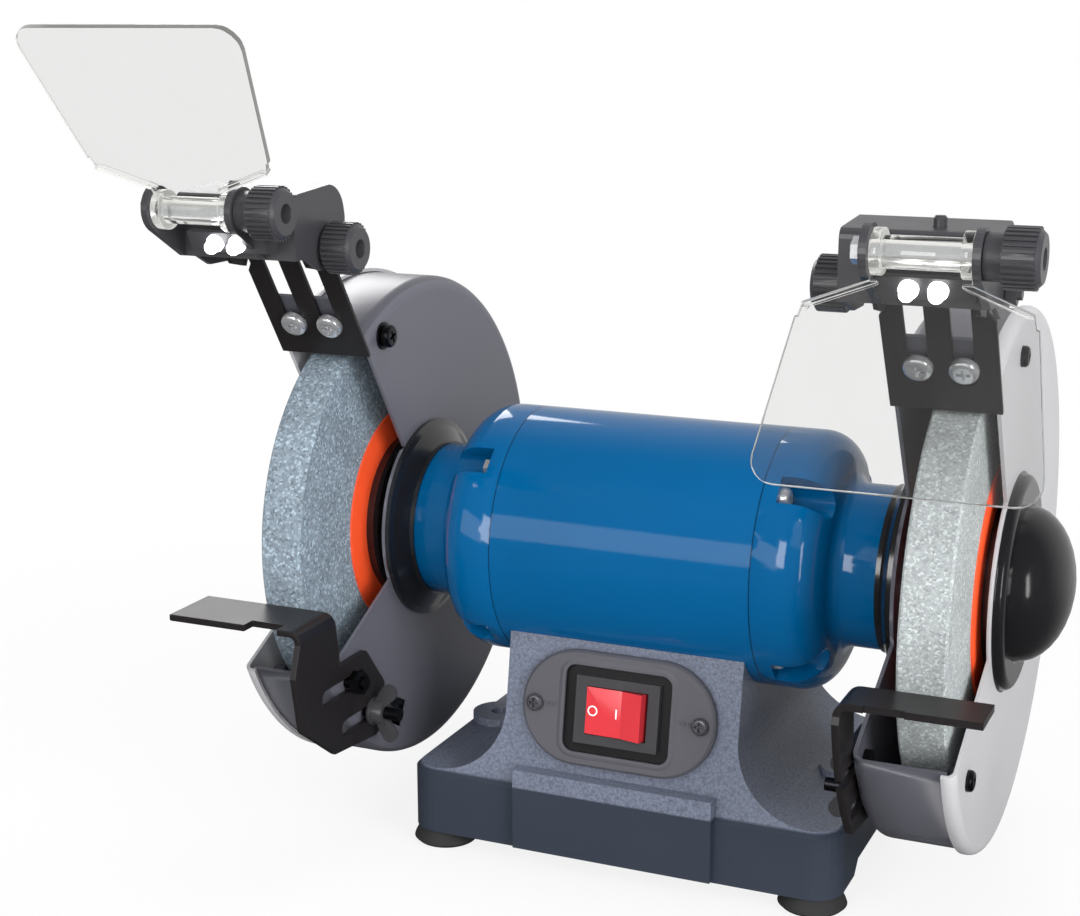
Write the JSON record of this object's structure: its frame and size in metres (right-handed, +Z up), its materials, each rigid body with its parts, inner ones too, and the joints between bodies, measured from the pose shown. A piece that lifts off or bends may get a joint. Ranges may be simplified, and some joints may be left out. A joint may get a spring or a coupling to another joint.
{
  "type": "bench grinder",
  "caption": "Bench grinder with a wheel and guard at each end of a barrel motor, lamp heads with clear visors, tool rests and a cast pedestal base with a rocker switch.",
  "frame": {"origin": "on the bench plane, midway between the two bench bolt holes", "axes": "+X to the user's right along the spindle, -Y towards the user, +Z up"},
  "size_m": [0.3956, 0.3134, 0.3785],
  "materials": {
    "base_paint": "satin",
    "motor_paint": "gloss",
    "guard_paint": "satin",
    "cover_paint": "satin",
    "black_paint": "satin",
    "black_plastic": "satin",
    "zinc": "satin",
    "black_steel": "satin",
    "steel": "satin",
    "laminations": "matte",
    "copper": "satin",
    "coarse_abrasive": "matte",
    "fine_abrasive": "matte",
    "washer_paper": "satin",
    "rubber": "matte",
    "can": "satin",
    "clear_sheet": "gloss",
    "lamp_clear": "gloss",
    "red_rocker": "gloss",
    "cell_jacket": "satin"
  },
  "bodies": {
    "base": {"base_casting": "base_paint", "bottom_plate": "zinc", "rubber_feet": "rubber", "foot_screws": "zinc", "cable_gland": "black_plastic", "capacitor": "can", "motor_barrel": "motor_paint", "left_end_bell": "motor_paint", "right_end_bell": "motor_paint", "tie_bolts": "zinc", "stator_core": "laminations", "stator_windings": "copper", "bearing_outer_rings": "steel", "cradle_screws": "zinc", "left_guard_body": "guard_paint", "right_guard_body": "guard_paint", "left_guard_cover": "cover_paint", "right_guard_cover": "cover_paint", "guard_mount_rings": "black_paint", "guard_cover_screws": "black_steel", "guard_mount_screws": "zinc", "spark_plate_screws": "zinc", "rest_bolts": "zinc", "switch_plate": "base_paint", "switch_body": "black_plastic", "switch_screws": "black_steel"},
    "rotor": {"shaft": "steel", "rotor_core": "laminations", "bearing_inner_rings": "steel", "bearing_balls": "steel", "inner_flanges": "black_paint", "outer_flanges": "black_paint", "paper_washers": "washer_paper", "left_wheel": "coarse_abrasive", "right_wheel": "fine_abrasive", "spindle_nuts": "zinc"},
    "rocker": {"switch_rocker": "red_rocker"},
    "left_spark": {"left_spark_plate": "black_paint"},
    "left_head": {"left_lamp_housing": "black_plastic", "left_lamp_cells": "cell_jacket", "left_lamp": "lamp_clear", "left_hinge_bolt": "zinc"},
    "left_button": {"left_lamp_button": "black_plastic"},
    "left_arm_clamp": {"left_arm_knob": "black_plastic"},
    "left_shield": {"left_visor": "clear_sheet"},
    "left_shield_clamp": {"left_visor_knob": "black_plastic"},
    "left_rest": {"left_tool_rest": "black_paint"},
    "left_rest_clamp": {"left_rest_knob": "black_plastic"},
    "right_spark": {"right_spark_plate": "black_paint"},
    "right_head": {"right_lamp_housing": "black_plastic", "right_lamp_cells": "cell_jacket", "right_lamp": "lamp_clear", "right_hinge_bolt": "zinc"},
    "right_button": {"right_lamp_button": "black_plastic"},
    "right_arm_clamp": {"right_arm_knob": "black_plastic"},
    "right_shield": {"right_visor": "clear_sheet"},
    "right_shield_clamp": {"right_visor_knob": "black_plastic"},
    "right_rest": {"right_tool_rest": "black_paint"},
    "right_rest_clamp": {"right_rest_knob": "black_plastic"}
  },
  "joints": [
    {"name": "rotor_spin", "type": "hinge", "parent": "base", "child": "rotor", "pos_m": [0, -0.015, 0.1455], "axis": [1, 0, 0], "continuous": true},
    {"name": "rocker_tilt", "type": "hinge", "parent": "base", "child": "rocker", "pos_m": [0, -0.06569, 0.07858], "axis": [0, 0.1596, 0.9872], "range_deg": [0, 16]},
    {"name": "left_spark_slide", "type": "slide", "parent": "base", "child": "left_spark", "axis": [0, -0.5519, 0.8339], "range_m": [-0.005, 0.002]},
    {"name": "left_arm_tilt", "type": "hinge", "parent": "left_spark", "child": "left_head", "pos_m": [-0.1406, -0.11898, 0.28774], "axis": [1, 0, 0], "range_deg": [-15, 20]},
    {"name": "left_arm_knob_turn", "type": "hinge", "parent": "left_head", "child": "left_arm_clamp", "pos_m": [-0.1406, -0.11898, 0.28774], "axis": [1, 0, 0], "continuous": true},
    {"name": "left_lamp_press", "type": "slide", "parent": "left_head", "child": "left_button", "axis": [0, 0, -1], "range_m": [0, 0.0015], "stiffness_N_per_m": 300},
    {"name": "left_visor_tilt", "type": "hinge", "parent": "left_head", "child": "left_shield", "pos_m": [-0.1406, -0.16198, 0.30574], "axis": [1, 0, 0], "range_deg": [0, 123]},
    {"name": "left_visor_knob_turn", "type": "hinge", "parent": "left_head", "child": "left_shield_clamp", "pos_m": [-0.1406, -0.16198, 0.30574], "axis": [1, 0, 0], "continuous": true},
    {"name": "left_rest_slide", "type": "slide", "parent": "base", "child": "left_rest", "axis": [0, -1, 0], "range_m": [-0.0015, 0.0065]},
    {"name": "left_rest_knob_turn", "type": "hinge", "parent": "base", "child": "left_rest_clamp", "pos_m": [-0.116, -0.08539, 0.06895], "axis": [1, 0, 0], "continuous": true},
    {"name": "right_spark_slide", "type": "slide", "parent": "base", "child": "right_spark", "axis": [0, -0.5519, 0.8339], "range_m": [-0.001, 0.0065]},
    {"name": "right_arm_tilt", "type": "hinge", "parent": "right_spark", "child": "right_head", "pos_m": [0.1406, -0.1165, 0.28399], "axis": [1, 0, 0], "range_deg": [-15, 20]},
    {"name": "right_arm_knob_turn", "type": "hinge", "parent": "right_head", "child": "right_arm_clamp", "pos_m": [0.1406, -0.1165, 0.28399], "axis": [1, 0, 0], "continuous": true},
    {"name": "right_lamp_press", "type": "slide", "parent": "right_head", "child": "right_button", "axis": [0, 0, -1], "range_m": [0, 0.0015], "stiffness_N_per_m": 300},
    {"name": "right_visor_tilt", "type": "hinge", "parent": "right_head", "child": "right_shield", "pos_m": [0.1406, -0.15949, 0.30199], "axis": [1, 0, 0], "range_deg": [-123, 0]},
    {"name": "right_visor_knob_turn", "type": "hinge", "parent": "right_head", "child": "right_shield_clamp", "pos_m": [0.1406, -0.15949, 0.30199], "axis": [1, 0, 0], "continuous": true},
    {"name": "right_rest_slide", "type": "slide", "parent": "base", "child": "right_rest", "axis": [0, -1, 0], "range_m": [-0.0015, 0.0065]},
    {"name": "right_rest_knob_turn", "type": "hinge", "parent": "base", "child": "right_rest_clamp", "pos_m": [0.116, -0.08539, 0.06895], "axis": [1, 0, 0], "continuous": true}
  ]
}
